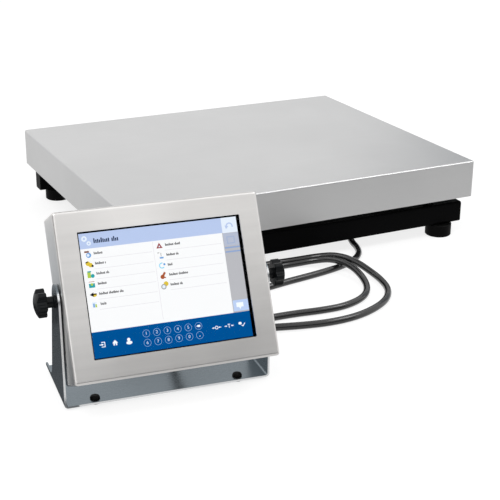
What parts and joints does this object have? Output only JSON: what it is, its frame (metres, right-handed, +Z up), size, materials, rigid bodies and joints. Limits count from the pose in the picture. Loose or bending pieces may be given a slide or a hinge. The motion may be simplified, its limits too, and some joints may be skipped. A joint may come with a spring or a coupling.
{
  "type": "platform weighing scale",
  "caption": "Low platform weighing scale with a lift-off stainless pan on a tube frame, joined by a cable to a tilting touch-screen terminal in a folded bracket.",
  "frame": {"origin": "centre of the pan's top face, where the load is placed", "axes": "+Z up, +X along the platform's long side to the right, +Y away from the user; the terminal stands in front of the platform's left end"},
  "size_m": [0.6734, 0.7009, 0.1913],
  "materials": {
    "stainless": "satin brushed stainless steel",
    "housing_steel": "fine brushed stainless steel",
    "frame_paint": "black powder coat",
    "bracket_steel": "bead blasted stainless steel",
    "zinc_plated": "bright zinc plating",
    "cell_aluminium": "machined and clear anodised",
    "connector_metal": "nickel plated",
    "black_plastic": "moulded, fine texture",
    "black_rubber": "matt",
    "cable_jacket": "smooth polyurethane jacket",
    "touch_glass": "clear, polished",
    "vial_glass": "clear with green liquid",
    "display": "liquid crystal display",
    "board": "green solder mask",
    "chips": "moulded packages"
  },
  "bodies": {
    "base": {"front_rail": "frame_paint", "rear_rail": "frame_paint", "rail_caps": "black_plastic", "cross_left": "frame_paint", "cross_right": "frame_paint", "cell_spacer": "bracket_steel", "load_cell": "cell_aluminium", "gauge_potting": "black_rubber", "cell_screws": "zinc_plated", "foot_bushes": "zinc_plated", "lock_nuts": "frame_paint", "overload_stops": "frame_paint", "level_holder": "black_plastic", "level_lens": "vial_glass", "gland_plate": "frame_paint", "platform_gland": "black_plastic", "platform_boot": "black_rubber", "cell_lead": "cable_jacket", "bracket": "bracket_steel", "bracket_feet": "black_rubber", "scale_cable": "cable_jacket", "cable_riser": "cable_jacket"},
    "deck": {"deck_side_left": "frame_paint", "deck_side_right": "frame_paint", "deck_long_front": "frame_paint", "deck_long_rear": "frame_paint", "deck_plate": "frame_paint", "deck_screws": "zinc_plated", "deck_pads": "black_rubber"},
    "pan": {"weighing_pan": "stainless"},
    "head": {"front_shell": "housing_steel", "screen_gasket": "black_rubber", "touch_glass": "touch_glass", "lcd_module": "display", "lcd_carrier": "zinc_plated", "main_board": "board", "board_parts": "chips", "rear_cover": "housing_steel", "cover_gasket": "black_rubber", "cover_screws": "zinc_plated", "pivot_bushes": "zinc_plated", "pivot_washers": "black_plastic", "panel_connectors": "connector_metal", "terminal_gland": "black_plastic", "terminal_boot": "black_rubber"},
    "knob_left": {"knob_grip_left": "black_plastic", "knob_stud_left": "zinc_plated"},
    "knob_right": {"knob_grip_right": "black_plastic", "knob_stud_right": "zinc_plated"},
    "foot_front_left": {"foot_stud_front_left": "zinc_plated", "foot_pad_front_left": "black_plastic"},
    "foot_front_right": {"foot_stud_front_right": "zinc_plated", "foot_pad_front_right": "black_plastic"},
    "foot_rear_left": {"foot_stud_rear_left": "zinc_plated", "foot_pad_rear_left": "black_plastic"},
    "foot_rear_right": {"foot_stud_rear_right": "zinc_plated", "foot_pad_rear_right": "black_plastic"}
  },
  "joints": [
    {"name": "terminal_tilt", "type": "hinge", "parent": "base", "child": "head", "pos_m": [-0.29714, -0.43243, 0.005], "axis": [0.9936, -0.1132, 0], "range_deg": [-24, 26], "deforming": ["cable_riser"]},
    {"name": "knob_left_turn", "type": "hinge", "parent": "head", "child": "knob_left", "pos_m": [-0.29714, -0.43243, 0.005], "axis": [0.9936, -0.1132, 0], "continuous": true},
    {"name": "knob_right_turn", "type": "hinge", "parent": "head", "child": "knob_right", "pos_m": [-0.29714, -0.43243, 0.005], "axis": [0.9936, -0.1132, 0], "continuous": true},
    {"name": "deck_travel", "type": "slide", "parent": "base", "child": "deck", "axis": [0, 0, 1], "range_m": [-0.0005, 0], "stiffness_N_per_m": 300000, "springref_m": 0.0002, "deforming": ["load_cell", "gauge_potting"]},
    {"name": "pan_lift", "type": "slide", "parent": "deck", "child": "pan", "axis": [0, 0, 1], "range_m": [0, 0.06]},
    {"name": "foot_front_left_height", "type": "slide", "parent": "base", "child": "foot_front_left", "axis": [0, 0, 1], "range_m": [-0.008, 0]},
    {"name": "foot_front_right_height", "type": "slide", "parent": "base", "child": "foot_front_right", "axis": [0, 0, 1], "range_m": [-0.008, 0]},
    {"name": "foot_rear_left_height", "type": "slide", "parent": "base", "child": "foot_rear_left", "axis": [0, 0, 1], "range_m": [-0.008, 0]},
    {"name": "foot_rear_right_height", "type": "slide", "parent": "base", "child": "foot_rear_right", "axis": [0, 0, 1], "range_m": [-0.008, 0]}
  ]
}
